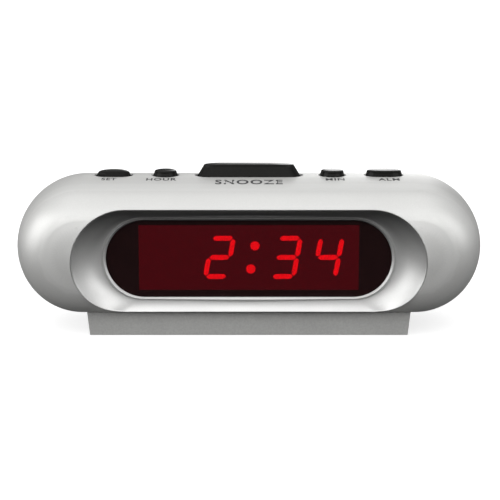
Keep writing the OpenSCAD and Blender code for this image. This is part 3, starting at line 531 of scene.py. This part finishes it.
cap("time_cap", 13.4, 8.0, 2.0, -47.8, "time_key", "time_button", -0.6, 1.3, (1.1, 0.8), 2.4, ellipse)
cap("hour_cap", 9.2, 9.19, 2.0, -29.5, "hour_key", "hour_button", -0.6, 0.9, (0.7, 0.5), 3.4)
cap("minute_cap", 9.2, 9.19, 2.0, 29.5, "minute_key", "minute_button", -0.6, 0.9, (0.6, 0.4), 3.8)
cap("alarm_cap", 13.4, 8.0, 2.0, 47.8, "alarm_key", "alarm_button", -0.6, 0.8, (0.6, 0.3), 3.8, ellipse)
cap("snooze_cap", 38.0, 8.8, 4.2, 0.0, "snooze", "snooze_bar", -1.5, 0.6, (3.1, 1.5), 3.2)


# ---------------------------------------------------------------- printed labels on the crown
def label(name, text, x, y0, height, width):
    """Raised ink on the shell: text laid on the crown, its foot at depth y0 - height."""
    cu = bpy.data.curves.new(name, "FONT")
    cu.body = text
    cu.size = 1.0
    cu.align_x = "CENTER"
    cu.resolution_u = 4
    cu.offset = 0.022
    cu.space_character = 1.15
    tmp = bpy.data.objects.new(name + "_tmp", cu)
    sc.collection.objects.link(tmp)
    bpy.context.view_layer.update()
    me = bpy.data.meshes.new_from_object(tmp.evaluated_get(bpy.context.evaluated_depsgraph_get()))
    bpy.data.objects.remove(tmp)
    xs = [v.co.x for v in me.vertices]
    ys = [v.co.y for v in me.vertices]
    sx = width / (max(xs) - min(xs))
    sy = height / (max(ys) - min(ys))
    mid, low = (max(xs) + min(xs)) / 2, min(ys)
    pts = []
    for v in me.vertices:
        y = y0 - height + (v.co.y - low) * sy
        pts.append((x + (v.co.x - mid) * sx, y, crown_z(y) + 0.012))
    faces = [tuple(p.vertices) for p in me.polygons]
    bpy.data.meshes.remove(me)
    return piece(name, pts, faces, "label_ink", sharp=80)



label("label_snooze", "SNOOZE", 0.0, -8.4, 5.0, 23.5)
label("label_time", "SET", -49.0, -5.6, 3.3, 5.2)
label("label_hour", "HOUR", -30.6, -6.0, 3.3, 10.6)
label("label_min", "MIN", 30.2, -6.2, 3.0, 6.6)
label("label_alarm", "ALM", 49.0, -6.2, 3.2, 7.4)

# ---------------------------------------------------------------- stage, light, camera
bpy.ops.mesh.primitive_plane_add(size=8)
floor = bpy.context.object
floor.name = "floor"
k = Nodes("floor")
g = k.noise(60.0, 4.0)
k.link(k.mix(k.span(g, 0.0, 0.4), (0.55, 0.55, 0.55), (0.53, 0.53, 0.53)), k.b.inputs["Base Color"])
k.set(Roughness=0.9, Emission_Color=(0.95, 0.95, 0.95), Emission_Strength=0.72)
floor.data.materials.append(k.m)
floor.visible_diffuse = False
floor.visible_glossy = False

w = bpy.data.worlds.new("studio")
sc.world = w
w.use_nodes = True
t = w.node_tree
co = t.nodes.new("ShaderNodeTexCoord")
se = t.nodes.new("ShaderNodeSeparateXYZ")
t.links.new(co.outputs["Generated"], se.inputs[0])
mr = t.nodes.new("ShaderNodeMapRange")
mr.inputs["From Min"].default_value = -1
mr.inputs["From Max"].default_value = 1
t.links.new(se.outputs["Z"], mr.inputs["Value"])
ramp = t.nodes.new("ShaderNodeValToRGB")
cr = ramp.color_ramp
cr.elements[0].position, cr.elements[0].color = 0.0, (0.12, 0.12, 0.12, 1)
cr.elements[1].position, cr.elements[1].color = 1.0, (0.80, 0.80, 0.80, 1)
for p, v in ((0.40, 0.12), (0.48, 0.20), (0.52, 0.55), (0.72, 0.52)):
    el = cr.elements.new(p)
    el.color = (v, v, v, 1)
t.links.new(mr.outputs[0], ramp.inputs[0])


def slope(axis, a, b, lo=0.0, hi=1.0):
    m = t.nodes.new("ShaderNodeMapRange")
    m.interpolation_type = "SMOOTHSTEP"
    for name, v in zip(("From Min", "From Max", "To Min", "To Max"), (a, b, lo, hi)):
        m.inputs[name].default_value = v
    t.links.new(se.outputs[axis], m.inputs["Value"])
    return m.outputs["Result"]


def times(a, b):
    m = t.nodes.new("ShaderNodeMath")
    m.operation = "MULTIPLY"
    t.links.new(a, m.inputs[0])
    t.links.new(b, m.inputs[1])
    return m.outputs[0]


def blend(fac, a, b):
    m = t.nodes.new("ShaderNodeMix")
    t.links.new(fac, m.inputs[0])
    t.links.new(a, m.inputs[2])
    t.links.new(b, m.inputs[3]) if not isinstance(b, float) else setattr(m.inputs[3], "default_value", b)
    return m.outputs[0]


sky = t.nodes.new("ShaderNodeSeparateColor")
t.links.new(ramp.outputs[0], sky.inputs[0])
front = times(slope("Y", -0.15, -0.85), times(slope("Z", 0.05, 0.34), slope("Z", 0.97, 0.60)))
level = blend(front, sky.outputs[0], 2.2)
level = blend(times(slope("Y", -0.10, -0.60), slope("Z", 0.20, 0.02)), level, 0.035)
# The room behind is dark on the left and bright on the right, as the tops of the keys show.
behind = times(slope("Y", 0.55, 0.85), times(slope("Z", 0.50, 0.34), slope("Z", -0.06, 0.02)))
bright = times(slope("X", -0.05, 0.06), slope("X", 0.32, 0.14))
m = t.nodes.new("ShaderNodeMapRange")
m.inputs["To Min"].default_value = 0.08
m.inputs["To Max"].default_value = 2.6
t.links.new(bright, m.inputs["Value"])
level = blend(behind, level, m.outputs["Result"])
t.links.new(level, t.nodes["Background"].inputs[0])
t.nodes["Background"].inputs[1].default_value = 1.0


def area(name, loc, aim, size, size_y, energy, col=(1, 1, 1)):
    l = bpy.data.lights.new(name, "AREA")
    l.shape = "RECTANGLE"
    l.size, l.size_y, l.energy, l.color = size, size_y, energy, col
    o = bpy.data.objects.new(name, l)
    sc.collection.objects.link(o)
    o.location = loc
    o.rotation_euler = (Vector(aim) - Vector(loc)).to_track_quat("-Z", "Y").to_euler()
    return o


area("top_box", (0.0, -0.15, 0.9), (0, 0, 0.03), 1.2, 0.8, 1.35)
area("left_box", (-1.0, -0.35, 0.35), (0, 0, 0.03), 0.9, 0.7, 4.6)
area("right_box", (1.0, -0.55, 0.35), (0, 0, 0.03), 0.8, 0.6, 2.0)

cam = bpy.data.cameras.new("cam")
co = bpy.data.objects.new("cam", cam)
sc.collection.objects.link(co)
e = math.radians(11)
aim = Vector((0.0004, 0, 0.0271))
co.location = aim + Vector((0, -0.6 * math.cos(e), 0.6 * math.sin(e)))
co.rotation_euler = (aim - co.location).to_track_quat("-Z", "Y").to_euler()
cam.lens = 120.9
cam.sensor_width = 36
cam.clip_start = 0.01
sc.camera = co
sc.view_settings.view_transform = "Standard"
